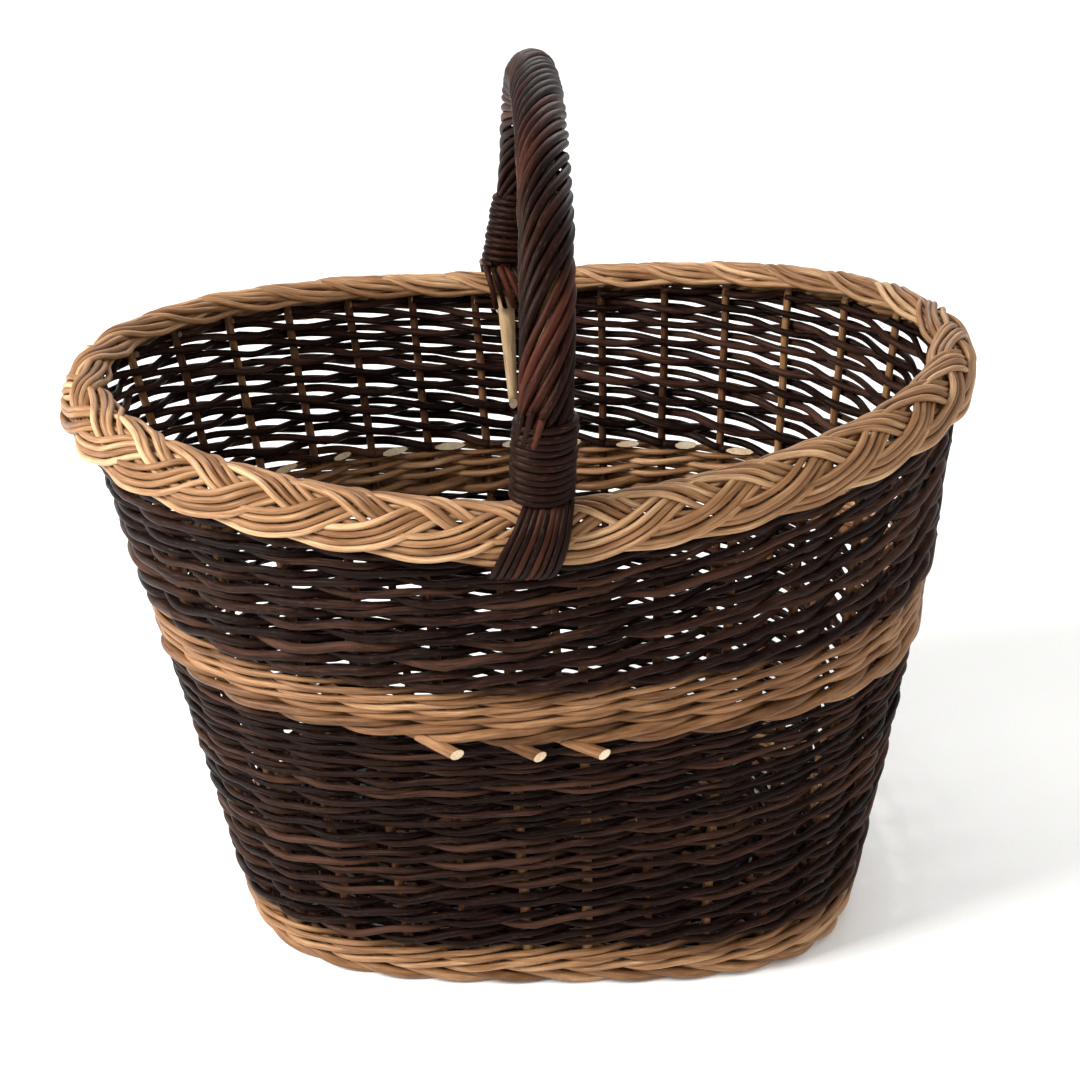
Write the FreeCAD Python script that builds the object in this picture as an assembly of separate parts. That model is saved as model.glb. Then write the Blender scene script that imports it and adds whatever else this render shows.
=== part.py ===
import FreeCAD, Part
import math
import os

from FreeCAD import Vector

# An oval willow market basket with one fixed cross handle.
# Millimetres. +Z is up and the foot rests on Z = 0. X runs the length of the basket, Y crosses it
# under the handle, and the origin is below the middle of the rim.

# The wall is ruled: straight stakes run from an oblong at the foot to an oval at the rim.
# Both outlines are measured at the middle of the wall's thickness.
FOOT_HALF_LENGTH = 158.0
FOOT_HALF_WIDTH = 119.0
FOOT_POWER = 3.8
RIM_HALF_LENGTH = 218.0
RIM_HALF_WIDTH = 151.0
RIM_POWER = 2.0
RIM_HEIGHT = 284.0

# The work is made by eye: the rim rises to both ends, one end a little more than the other,
# and the foot sits nearer the high end.
END_RISE = 19.0
END_RISE_POWER = 1.25
RISE_SPREAD = 2.4
RIM_TILT = 12.0
FOOT_SHIFT = 23.5

# Uprights.
STAKE_COUNT = 32
STAKE_FOOT_RADIUS = 2.6
STAKE_TIP_RADIUS = 2.1
STAKE_FOOT_LEVEL = 0.012
STAKE_TIP_LEVEL = 0.975
POINTS_PER_STAKE = 2
OUTLINE_STEPS = 1440

# Bands of weaving, as shares of the wall's height from the foot, and half of their thickness.
FOOT_BORDER_TOP = 0.035
BOTTOM_WALE_TOP = 0.092
LOWER_SIDING_TOP = 0.555
BUTT_ROUND_TOP = 0.588
MIDDLE_WALE_TOP = 0.665
UPPER_SIDING_TOP = 0.945
FOOT_BORDER_HALF = 8.5
BOTTOM_WALE_HALF = 8.0
LOWER_SIDING_HALF = 6.8
BUTT_ROUND_HALF = 9.0
MIDDLE_WALE_HALF = 7.6
UPPER_SIDING_HALF = 7.0
FOOT_BEVEL = 3.0

# The plaited border: its section, as offsets out of the wall and heights above the rim line.
BORDER_SECTION = (
    (-6.9, -15.5),
    (-12.5, -15.0),
    (-14.0, -7.0),
    (-11.0, 1.5),
    (-2.0, 5.5),
    (7.0, 3.5),
    (12.5, -4.0),
    (13.5, -14.0),
    (11.5, -21.5),
    (7.2, -21.5),
    (7.2, -15.5),
)

# Handle: a bow with its ends pushed down into the wall, wrapped with rods, and a collar on each leg.
BOW_RADIUS = 5.5
BOW_END_LEVEL = 0.74
BOW_TOP_HEIGHT = 434.0
BACK_LEG_LEAN = 8.0
ARCH_POWER = 2.15
ARCH_STEPS = 28
ROPING_RADIUS = 12.6
ROPING_START = 8.5
COLLAR_RADIUS = 15.0
COLLAR_START = 9.0
COLLAR_LENGTH = 44.0

# The roping rods leave the collar, spread over the border and tuck under its edge.
TAIL_COUNT = 6
TAIL_RADIUS = 2.2
TAIL_TOP_PITCH = 4.6
TAIL_BOTTOM_PITCH = 8.5
TAIL_SLANT = 9.0
TAIL_SECTION = (
    (2.0, 7.9),
    (8.2, 6.0),
    (14.4, -2.6),
    (16.2, -13.0),
    (14.9, -23.0),
    (11.6, -26.6),
)

# Base: thin long sticks threaded through thick cross sticks, woven round into a flat panel.
BASE_LEVEL = 12.0
BASE_HALF_THICKNESS = 5.5
BASE_GAP = 0.3
CROSS_STICK_RADIUS = 4.5
CROSS_STICK_COUNT = 7
CROSS_STICK_PITCH = 34.0
LONG_STICK_RADIUS = 2.4
LONG_STICK_COUNT = 5
LONG_STICK_PITCH = 30.0
STICK_TUCK = 5.0

# Cut ends of rods: one beside each stake inside the basket, and a few below the middle wale.
BUTT_RADIUS = 2.6
BUTT_LEVEL = 0.677
BUTT_RISE = 0.022
BUTT_SIDE_STEP = 0.28
BUTT_ROOT = 3.5
BUTT_REACH = 11.5
WALE_BUTT_STEPS = (-1.55, -0.4, 0.5)
WALE_BUTT_RADIUS = 3.4
WALE_BUTT_LEVEL = 0.546
WALE_BUTT_DROP = 0.014
WALE_BUTT_SIDE_STEP = 0.32
WALE_BUTT_ROOT = 3.0
WALE_BUTT_REACH = 13.0

# Room left around anything that sits in a socket, and how level an edge must be to count as flat.
CLEARANCE = 0.12
FLATNESS = 0.001


def signed_power(value, power):
    """Raise a number to a power and keep its sign."""
    return math.copysign(abs(value) ** power, value)


def outline(half_length, half_width, power, count):
    """Points set evenly along a superellipse, anticlockwise from the middle of the front."""
    dense = []
    for step in range(OUTLINE_STEPS + 1):
        angle = 2.0 * math.pi * step / OUTLINE_STEPS - math.pi / 2.0
        x = half_length * signed_power(math.cos(angle), 2.0 / power)
        y = half_width * signed_power(math.sin(angle), 2.0 / power)
        dense.append(Vector(x, y, 0.0))
    run = [0.0]
    for before, after in zip(dense, dense[1:]):
        run.append(run[-1] + (after - before).Length)
    points = []
    place = 0
    for number in range(count):
        target = run[-1] * number / count
        while run[place + 1] < target:
            place += 1
        share = (target - run[place]) / (run[place + 1] - run[place])
        points.append(dense[place] + (dense[place + 1] - dense[place]) * share)
    return points


RING_COUNT = STAKE_COUNT * POINTS_PER_STAKE
FOOT_OUTLINE = outline(FOOT_HALF_LENGTH, FOOT_HALF_WIDTH, FOOT_POWER, RING_COUNT)
RIM_OUTLINE = outline(RIM_HALF_LENGTH, RIM_HALF_WIDTH, RIM_POWER, RING_COUNT)


def rim_height(x):
    """Height of the rim line at a distance along the basket."""
    share = x / RIM_HALF_LENGTH
    return RIM_HEIGHT + END_RISE * abs(share) ** END_RISE_POWER + RIM_TILT * share


def middle_point(step, level):
    """A point at the middle of the wall: step counts outline points, level is 0 to 1 up the wall."""
    foot = FOOT_OUTLINE[step % RING_COUNT] + Vector(FOOT_SHIFT, 0.0, 0.0)
    rim = RIM_OUTLINE[step % RING_COUNT]
    across = foot + (rim - foot) * level
    rise = (rim_height(rim.x) - RIM_HEIGHT) * level ** RISE_SPREAD
    return Vector(across.x, across.y, RIM_HEIGHT * level + rise)


def outward(step, level):
    """The level direction that points out of the wall."""
    along = middle_point(step + 1, level) - middle_point(step - 1, level)
    return Vector(along.y, -along.x, 0.0).normalize()


def wall_point(position, level, offset):
    """A point set out from the middle of the wall, at any position counted in outline points."""
    step = math.floor(position)
    share = position - step
    here = middle_point(step, level) + outward(step, level) * offset
    there = middle_point(step + 1, level) + outward(step + 1, level) * offset
    return here + (there - here) * share


def ring_edge(level, offset, lift):
    """A closed smooth edge round the basket."""
    points = []
    for step in range(RING_COUNT):
        points.append(wall_point(step, level, offset) + Vector(0.0, 0.0, lift))
    curve = Part.BSplineCurve()
    curve.interpolate(Points=points, PeriodicFlag=True, Parameters=list(range(RING_COUNT + 1)))
    return curve.toShape()


def face_between(edge, following):
    """The face that joins two edges of a ring: a flat one where both lie in one level plane."""
    low = min(edge.BoundBox.ZMin, following.BoundBox.ZMin)
    high = max(edge.BoundBox.ZMax, following.BoundBox.ZMax)
    if high - low > FLATNESS:
        return Part.makeRuledSurface(edge, following)
    pair = Part.makeCompound([Part.Wire(edge), Part.Wire(following)])
    return Part.makeFace(pair, "Part::FaceMakerBullseye")


def ring_solid(corners):
    """A closed ring whose section has the given (level, offset, lift) corners, in order."""
    edges = []
    for level, offset, lift in corners:
        edges.append(ring_edge(level, offset, lift))
    faces = []
    for number, edge in enumerate(edges):
        faces.append(face_between(edge, edges[(number + 1) % len(edges)]))
    shell = Part.makeShell(faces)
    shell.sewShape()
    solid = Part.makeSolid(shell)
    if solid.Volume < 0.0:
        solid.reverse()
    return solid


def band(bottom, top, half_thickness):
    """A plain band of weaving between two levels."""
    return ring_solid((
        (bottom, -half_thickness, 0.0),
        (bottom, half_thickness, 0.0),
        (top, half_thickness, 0.0),
        (top, -half_thickness, 0.0),
    ))


def foot_border():
    """The rolled foot, flat below and bevelled at its two lower edges."""
    half = FOOT_BORDER_HALF
    return ring_solid((
        (0.0, -half + FOOT_BEVEL, 0.0),
        (0.0, half - FOOT_BEVEL, 0.0),
        (0.0, half, FOOT_BEVEL),
        (FOOT_BORDER_TOP, half, 0.0),
        (FOOT_BORDER_TOP, -half, 0.0),
        (0.0, -half, FOOT_BEVEL),
    ))


def border():
    """The plaited border that caps the wall and laps over its outside."""
    corners = []
    for offset, lift in BORDER_SECTION:
        corners.append((1.0, offset, lift))
    return ring_solid(corners)


def rod(start, end, start_radius, end_radius):
    """A straight round rod, tapered where the two radii differ."""
    length = (end - start).Length
    if start_radius == end_radius:
        return Part.makeCylinder(start_radius, length, start, end - start)
    return Part.makeCone(start_radius, end_radius, length, start, end - start)


def stake(number, extra):
    """One upright, or its socket when extra room is given."""
    step = (number + 0.5) * POINTS_PER_STAKE
    foot = wall_point(step, STAKE_FOOT_LEVEL, 0.0)
    tip = wall_point(step, STAKE_TIP_LEVEL, 0.0)
    spare = (tip - foot).normalize() * extra
    return rod(foot - spare, tip + spare, STAKE_FOOT_RADIUS + extra, STAKE_TIP_RADIUS + extra)


def stakes(numbers):
    """A group of uprights."""
    return Part.makeCompound([stake(number, 0.0) for number in numbers])


def leg_direction(side):
    """The way a handle leg leaves the rim: in line with the wall, and square to the length."""
    slope = wall_point(side, 1.0, 0.0) - wall_point(side, BOW_END_LEVEL, 0.0)
    return Vector(0.0, slope.y, slope.z).normalize()


def leg_top(side, lean):
    """The top of a collar on its leg, leaning to the right by the given distance."""
    rise = COLLAR_START + COLLAR_LENGTH
    return wall_point(side, 1.0, 0.0) + leg_direction(side) * rise + Vector(lean, 0.0, 0.0)


def bow_points():
    """Points along the middle of the handle, from the front leg over to the back leg."""
    front = wall_point(0, 1.0, 0.0)
    back = wall_point(RING_COUNT // 2, 1.0, 0.0)
    front_top = leg_top(0, 0.0)
    back_top = leg_top(RING_COUNT // 2, BACK_LEG_LEAN)
    middle = (front_top + back_top) * 0.5
    half_span = (back_top.y - front_top.y) / 2.0
    height = BOW_TOP_HEIGHT - middle.z
    points = [wall_point(0, BOW_END_LEVEL, 0.0), front]
    for number in range(ARCH_STEPS + 1):
        angle = math.pi * (1.0 - number / ARCH_STEPS)
        across = half_span * signed_power(math.cos(angle), 2.0 / ARCH_POWER)
        up = height * abs(math.sin(angle)) ** (2.0 / ARCH_POWER)
        points.append(middle + Vector(BACK_LEG_LEAN * across / (2.0 * half_span), across, up))
    points += [back, wall_point(RING_COUNT // 2, BOW_END_LEVEL, 0.0)]
    return points


def bow_edge():
    """The smooth middle line of the handle."""
    curve = Part.BSplineCurve()
    curve.interpolate(Points=bow_points())
    return curve.toShape()


def part_of_edge(edge, start, end):
    """The stretch of an edge between two distances along it."""
    first = edge.getParameterByLength(start)
    last = edge.getParameterByLength(end)
    return edge.Curve.toShape(first, last)


def round_bar(edge, radius):
    """A solid round bar along an edge."""
    start = edge.valueAt(edge.FirstParameter)
    facing = edge.tangentAt(edge.FirstParameter)
    circle = Part.Wire(Part.makeCircle(radius, start, facing))
    return Part.Wire(edge).makePipeShell([circle], True, False)


def sleeve(edge, outer_radius, inner_radius):
    """A tube along an edge."""
    return round_bar(edge, outer_radius).cut(round_bar(edge, inner_radius))


def tail(side, number):
    """One roping rod where it leaves the collar, crosses the border and tucks under it."""
    place = number - (TAIL_COUNT - 1) / 2.0
    across_wall = outward(side, 1.0)
    along_wall = Vector(-across_wall.y, across_wall.x, 0.0)
    points = []
    last = len(TAIL_SECTION) - 1
    for corner, (offset, lift) in enumerate(TAIL_SECTION):
        share = corner / last
        pitch = TAIL_TOP_PITCH + (TAIL_BOTTOM_PITCH - TAIL_TOP_PITCH) * share
        sideways = place * pitch - TAIL_SLANT * share
        rim = middle_point(side, 1.0)
        sag = rim_height(along_wall.x * sideways) - RIM_HEIGHT
        point = rim + across_wall * offset + along_wall * sideways
        points.append(point + Vector(0.0, 0.0, lift + sag))
    curve = Part.BSplineCurve()
    curve.interpolate(Points=points)
    return round_bar(curve.toShape(), TAIL_RADIUS)


def tails(side):
    """The spread of rods below one collar."""
    return Part.makeCompound([tail(side, number) for number in range(TAIL_COUNT)])


def siding_butt(number, extra):
    """A cut rod end that leans out of the wall beside a stake, inside the basket."""
    step = (number + 0.5) * POINTS_PER_STAKE
    side_step = BUTT_SIDE_STEP * POINTS_PER_STAKE
    root = wall_point(step + side_step, BUTT_LEVEL + BUTT_RISE, -BUTT_ROOT)
    end = wall_point(step - side_step, BUTT_LEVEL, -BUTT_REACH)
    return rod(root, end, BUTT_RADIUS + extra, BUTT_RADIUS + extra)


def wale_butt(place, extra):
    """A cut rod end that leans out below the thick round of the middle wale."""
    step = place * POINTS_PER_STAKE
    side_step = WALE_BUTT_SIDE_STEP * POINTS_PER_STAKE
    root = wall_point(step - side_step, WALE_BUTT_LEVEL, WALE_BUTT_ROOT)
    end = wall_point(step + side_step, WALE_BUTT_LEVEL - WALE_BUTT_DROP, WALE_BUTT_REACH)
    return rod(root, end, WALE_BUTT_RADIUS + extra, WALE_BUTT_RADIUS + extra)


def half_reach(distance, half_distance, other_half_distance):
    """How far the foot outline reaches to each side at a distance from its middle."""
    share = 1.0 - abs(distance / half_distance) ** FOOT_POWER
    return other_half_distance * share ** (1.0 / FOOT_POWER)


def cross_stick(number, extra):
    """One thick stick across the base."""
    x = (number - (CROSS_STICK_COUNT - 1) / 2.0) * CROSS_STICK_PITCH
    reach = half_reach(x, FOOT_HALF_LENGTH, FOOT_HALF_WIDTH) - STICK_TUCK
    start = Vector(x + FOOT_SHIFT, -reach - extra, BASE_LEVEL)
    end = Vector(x + FOOT_SHIFT, reach + extra, BASE_LEVEL)
    return rod(start, end, CROSS_STICK_RADIUS + extra, CROSS_STICK_RADIUS + extra)


def long_stick(number, extra):
    """One thin stick along the base."""
    y = (number - (LONG_STICK_COUNT - 1) / 2.0) * LONG_STICK_PITCH
    reach = half_reach(y, FOOT_HALF_WIDTH, FOOT_HALF_LENGTH) - STICK_TUCK
    start = Vector(FOOT_SHIFT - reach - extra, y, BASE_LEVEL)
    end = Vector(FOOT_SHIFT + reach + extra, y, BASE_LEVEL)
    return rod(start, end, LONG_STICK_RADIUS + extra, LONG_STICK_RADIUS + extra)


def base_panel():
    """The woven panel of the base. Its outline starts at a corner, where no stick passes through."""
    inset = max(FOOT_BORDER_HALF, BOTTOM_WALE_HALF) + BASE_GAP
    corner = RING_COUNT // 8
    points = []
    for step in range(corner, corner + RING_COUNT):
        point = wall_point(step, 0.0, -inset)
        points.append(Vector(point.x, point.y, BASE_LEVEL - BASE_HALF_THICKNESS))
    curve = Part.BSplineCurve()
    curve.interpolate(Points=points, PeriodicFlag=True)
    face = Part.Face(Part.Wire(curve.toShape()))
    return face.extrude(Vector(0.0, 0.0, 2.0 * BASE_HALF_THICKNESS))


def save(name, shape):
    """Write one piece and say how big it is."""
    shape.exportStep("parts/" + name + ".step")
    box = shape.BoundBox
    print(name, len(shape.Solids), shape.isValid(), round(shape.Volume / 1000.0, 1), "cm3",
          [round(value, 1) for value in (box.XMin, box.YMin, box.ZMin, box.XMax, box.YMax, box.ZMax)])


os.makedirs("parts", exist_ok=True)

# The handle's middle line, and the stretches of it that the roping and the collars cover.
BACK = RING_COUNT // 2
handle_line = bow_edge()
leg_in_wall = (wall_point(0, 1.0, 0.0) - wall_point(0, BOW_END_LEVEL, 0.0)).Length
handle_length = handle_line.Length
roping_line = part_of_edge(handle_line, leg_in_wall + ROPING_START, handle_length - leg_in_wall - ROPING_START)
front_collar_line = part_of_edge(
    handle_line, leg_in_wall + COLLAR_START, leg_in_wall + COLLAR_START + COLLAR_LENGTH)
back_collar_line = part_of_edge(
    handle_line,
    handle_length - leg_in_wall - COLLAR_START - COLLAR_LENGTH,
    handle_length - leg_in_wall - COLLAR_START,
)

# Sockets that the other pieces leave in the weaving.
stake_sockets = [stake(number, CLEARANCE) for number in range(STAKE_COUNT)]
bow_socket = round_bar(handle_line, BOW_RADIUS + CLEARANCE)
siding_butt_sockets = [siding_butt(number, CLEARANCE) for number in range(STAKE_COUNT)]
wale_butt_sockets = [wale_butt(place, CLEARANCE) for place in WALE_BUTT_STEPS]
cross_sockets = [cross_stick(number, CLEARANCE) for number in range(CROSS_STICK_COUNT)]
long_sockets = [long_stick(number, CLEARANCE) for number in range(LONG_STICK_COUNT)]

# Base and foot.
save("base_long_sticks", Part.makeCompound([long_stick(number, 0.0) for number in range(LONG_STICK_COUNT)]))
threaded_sticks = [cross_stick(number, 0.0).cut(long_sockets) for number in range(CROSS_STICK_COUNT)]
save("base_cross_sticks", Part.makeCompound(threaded_sticks))
save("base_weave", base_panel().cut(cross_sockets + long_sockets))
save("foot_border", foot_border().cut(stake_sockets + cross_sockets + long_sockets))

# Walls, from the foot up.
bottom_wale = band(FOOT_BORDER_TOP, BOTTOM_WALE_TOP, BOTTOM_WALE_HALF)
save("bottom_wale", bottom_wale.cut(stake_sockets + cross_sockets + long_sockets))
lower_siding = band(BOTTOM_WALE_TOP, LOWER_SIDING_TOP, LOWER_SIDING_HALF)
save("lower_siding", lower_siding.cut(stake_sockets + wale_butt_sockets))
butt_round = band(LOWER_SIDING_TOP, BUTT_ROUND_TOP, BUTT_ROUND_HALF)
save("middle_wale_butt_round", butt_round.cut(stake_sockets + wale_butt_sockets))
middle_wale = band(BUTT_ROUND_TOP, MIDDLE_WALE_TOP, MIDDLE_WALE_HALF)
save("middle_wale", middle_wale.cut(stake_sockets + siding_butt_sockets))
upper_siding = band(MIDDLE_WALE_TOP, UPPER_SIDING_TOP, UPPER_SIDING_HALF)
save("upper_siding", upper_siding.cut(stake_sockets + siding_butt_sockets + [bow_socket]))
save("border", border().cut(stake_sockets + [bow_socket]))

# Uprights, a quarter of them to each side of the basket.
quarter = STAKE_COUNT // 4
first = -quarter // 2
for name in ("front_stakes", "right_stakes", "back_stakes", "left_stakes"):
    save(name, stakes(range(first, first + quarter)))
    first += quarter

# Cut ends left in the weaving.
save("siding_butts", Part.makeCompound([siding_butt(number, 0.0) for number in range(STAKE_COUNT)]))
save("wale_butts", Part.makeCompound([wale_butt(place, 0.0) for place in WALE_BUTT_STEPS]))

# Handle.
save("handle_bow", round_bar(handle_line, BOW_RADIUS))
save("handle_roping", sleeve(roping_line, ROPING_RADIUS, BOW_RADIUS + CLEARANCE))
save("front_collar", sleeve(front_collar_line, COLLAR_RADIUS, ROPING_RADIUS + CLEARANCE))
save("back_collar", sleeve(back_collar_line, COLLAR_RADIUS, ROPING_RADIUS + CLEARANCE))
save("front_tails", tails(0))
save("back_tails", tails(BACK))
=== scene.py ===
# %% [markdown]
# # A woven market basket
# The basket is willow from foot to handle: dark rods with their bark on for the wall, pale
# stripped rods for the bands and the border, and reddish brown rods round the handle.
# The engineering model gives the true outer shape and the sizes. It is loaded first, and every
# rod below is laid on it. Solid bands could be given a picture of weaving, but a basket is
# mostly gaps and crossings, so each rod is made as real geometry here.

# %% Load the frame
import math
import bpy
import numpy as np
from mathutils import Matrix, Vector


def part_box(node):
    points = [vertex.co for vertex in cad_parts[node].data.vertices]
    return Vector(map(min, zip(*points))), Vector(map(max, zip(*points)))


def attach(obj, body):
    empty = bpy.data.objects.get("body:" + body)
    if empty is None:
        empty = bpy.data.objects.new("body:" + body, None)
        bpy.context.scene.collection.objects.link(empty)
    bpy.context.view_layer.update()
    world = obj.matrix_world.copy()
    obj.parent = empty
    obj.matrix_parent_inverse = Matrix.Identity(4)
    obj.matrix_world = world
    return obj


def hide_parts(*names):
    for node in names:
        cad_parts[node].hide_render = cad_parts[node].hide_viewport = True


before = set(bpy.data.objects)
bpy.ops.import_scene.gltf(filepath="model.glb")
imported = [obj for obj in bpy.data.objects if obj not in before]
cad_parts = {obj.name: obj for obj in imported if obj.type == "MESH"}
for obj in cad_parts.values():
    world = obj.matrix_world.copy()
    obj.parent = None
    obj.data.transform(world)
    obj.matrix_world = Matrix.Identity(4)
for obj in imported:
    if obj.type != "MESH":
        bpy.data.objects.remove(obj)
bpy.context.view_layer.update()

MM = 0.001
rng = np.random.default_rng(32)
print("frame nodes:", len(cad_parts))

# %% [markdown]
# ## The wall as a surface
# A weaver pushes straight stakes into an oblong foot and bends them to an oval rim, so the wall
# is close to a ruled surface: each stake is nearly a straight line from the foot outline to the
# rim outline. The rows stay level low down, and follow the rise of the rim only near the top.
# All weaving is placed on it by three numbers: which stake, how far up, and how far out.
# A surface of formulas is chosen over a mesh, because rods can be laid on it at any spacing.

# %% Sizes from the frame
STAKES = 32
FOOT_HALF_THICKNESS = 8.5 * MM
BORDER_OVERHANG = 13.5 * MM
BORDER_TOP_LIFT = 5.5 * MM
STAKE_TIP_LEVEL = 0.975
END_RISE = 19.0 * MM
END_RISE_POWER = 1.25
RISE_SPREAD = 2.4
FOOT_POWER = 3.3
FOOT_YAW = math.radians(-1.3)
RIM_POWER = 2.0
STEPS = 24

foot_low, foot_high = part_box("foot_border")
rim_low, rim_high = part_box("border")
foot_middle_x = (foot_low.x + foot_high.x) / 2
foot_half_x = (foot_high.x - foot_low.x) / 2 - FOOT_HALF_THICKNESS
foot_half_y = (foot_high.y - foot_low.y) / 2 - FOOT_HALF_THICKNESS
rim_half_x = (rim_high.x - rim_low.x) / 2 - BORDER_OVERHANG
rim_half_y = (rim_high.y - rim_low.y) / 2 - BORDER_OVERHANG
right_rim = rim_high.z - BORDER_TOP_LIFT
left_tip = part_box("left_stakes")[1].z
tip_share = STAKE_TIP_LEVEL ** RISE_SPREAD
rim_middle = (left_tip - tip_share * (2 * END_RISE - right_rim)) / (STAKE_TIP_LEVEL + tip_share)
rim_tilt = right_rim - rim_middle - END_RISE
print("rim height in the middle, mm:", round(rim_middle / MM, 1), "tilt:", round(rim_tilt / MM, 1))


# %% The wall
def outline(half_x, half_y, power):
    """Even points round a superellipse, anticlockwise from the middle of the front."""
    angle = np.linspace(0.0, 2 * np.pi, 7200) - np.pi / 2
    x = half_x * np.sign(np.cos(angle)) * np.abs(np.cos(angle)) ** (2 / power)
    y = half_y * np.sign(np.sin(angle)) * np.abs(np.sin(angle)) ** (2 / power)
    run = np.concatenate([[0.0], np.cumsum(np.hypot(np.diff(x), np.diff(y)))])
    even = np.linspace(0.0, run[-1], STAKES * STEPS + 1)
    return np.stack([np.interp(even, run, x), np.interp(even, run, y)], axis=1)


def rim_height(x):
    """Height of the rim line at a distance along the basket."""
    share = x / rim_half_x
    return rim_middle + END_RISE * np.abs(share) ** END_RISE_POWER + rim_tilt * share


def turned(flat, angle):
    """Level points turned about the up direction."""
    spin = np.array([[math.cos(angle), math.sin(angle)], [-math.sin(angle), math.cos(angle)]])
    return flat @ spin


def on_ring(table, stake):
    """Reads a table of even points round the basket at any stake number."""
    place = np.mod(stake, STAKES) * STEPS
    low = np.minimum(np.floor(place).astype(int), len(table) - 2)
    share = (place - low)[:, None]
    return table[low] * (1 - share) + table[low + 1] * share


def directions(table):
    """The level direction that points out of the wall at each point of an outline."""
    along = np.roll(table[:-1], -1, axis=0) - np.roll(table[:-1], 1, axis=0)
    out = np.stack([along[:, 1], -along[:, 0]], axis=1)
    out /= np.linalg.norm(out, axis=1)[:, None]
    return np.concatenate([out, out[:1]])


foot_outline = turned(outline(foot_half_x, foot_half_y, FOOT_POWER), FOOT_YAW)
rim_outline = outline(rim_half_x, rim_half_y, RIM_POWER)
foot_out = directions(foot_outline)
rim_out = directions(rim_outline)


# The wall bellies out a little half way up, and most at its right end.
BELLY = 3.0 * MM
BELLY_LEAN = 3.0 * MM


def wall(stake, level, out=0.0, lift=0.0):
    """Points on the wall: stake number, height share, and metres out of it and above it."""
    stake = np.atleast_1d(np.asarray(stake, float))
    level = np.broadcast_to(np.asarray(level, float), stake.shape)
    out = np.broadcast_to(np.asarray(out, float), stake.shape)
    lift = np.broadcast_to(np.asarray(lift, float), stake.shape)
    foot = on_ring(foot_outline, stake) + np.array([foot_middle_x, 0.0])
    rim = on_ring(rim_outline, stake)
    share = level[:, None]
    flat = foot * (1 - share) + rim * share
    facing = on_ring(foot_out, stake) * (1 - share) + on_ring(rim_out, stake) * share
    facing /= np.linalg.norm(facing, axis=1)[:, None]
    end = rim[:, 0] / rim_half_x
    belly = (BELLY * end ** 2 + BELLY_LEAN * end) * np.abs(end) * np.sin(np.pi * np.clip(level, 0.0, 1.0))
    flat = flat + facing * (out + belly)[:, None]
    height = level * rim_middle + np.abs(level) ** RISE_SPREAD * (rim_height(rim[:, 0]) - rim_middle) + lift
    return np.concatenate([flat, height[:, None]], axis=1)


STAKE_SPACING = float(np.linalg.norm(wall([1.0], 0.8)[0] - wall([0.0], 0.8)[0]))
WALL_HEIGHT = rim_middle
print("stakes are", round(STAKE_SPACING / MM, 1), "mm apart")

# %% [markdown]
# ## A willow rod
# A rod is a long shoot: round, thick at the butt, thin at the tip, never quite straight, and
# cut on the slant at its thick end. Blender's curves with a bevel could draw it, but hundreds
# of them are slow and cannot carry a different cut face. So one function sweeps a ring of
# points along each path, for many rods at a time, and writes them as one mesh.
# It also stores two things for the bark: how far along and how far round each point is, and
# one random tone for each rod, because no two shoots have the same colour.


# %% Sweep rods into a mesh
def rod(points, radius, facing=(0, 0, 1), closed=False, cuts=(0.0, 0.0), tone=None):
    """One rod: its path, its radius along it, and how slanted its two cut ends are."""
    points = np.asarray(points, float)
    return {
        "points": points,
        "radius": np.broadcast_to(np.asarray(radius, float), len(points)).copy(),
        "facing": np.broadcast_to(np.asarray(facing, float), points.shape),
        "closed": closed,
        "cuts": cuts,
        "tone": rng.random() if tone is None else tone,
    }


def unit(vectors):
    return vectors / np.linalg.norm(vectors, axis=1)[:, None]


def swept(one, sides):
    """The ring points of one rod, the distance along it, and its ring count."""
    points = one["points"]
    if one["closed"]:
        tangent = np.roll(points, -1, axis=0) - np.roll(points, 1, axis=0)
        step = np.linalg.norm(np.roll(points, -1, axis=0) - points, axis=1)
        along = np.concatenate([[0.0], np.cumsum(step)[:-1]])
    else:
        tangent = np.gradient(points, axis=0)
        along = np.concatenate([[0.0], np.cumsum(np.linalg.norm(np.diff(points, axis=0), axis=1))])
    tangent = unit(tangent)
    side = unit(np.cross(tangent, one["facing"]))
    up = np.cross(side, tangent)
    turn = np.arange(sides) * 2 * np.pi / sides
    ring = np.cos(turn)[None, :, None] * side[:, None, :] + np.sin(turn)[None, :, None] * up[:, None, :]
    rings = points[:, None, :] + ring * one["radius"][:, None, None]
    for end, slant in zip((0, -1), one["cuts"]):
        if slant:
            # Each ring that the slanted cut reaches is pushed back onto the cut.
            shift = (1.0 + np.sign(slant) * np.cos(turn)) * abs(slant) * one["radius"][end]
            from_end = along if end == 0 else along[-1] - along
            push = np.maximum(shift[None, :] - from_end[:, None], 0.0)
            rings = rings + tangent[end][None, None, :] * push[:, :, None] * (1 if end == 0 else -1)
    return rings, along


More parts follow.
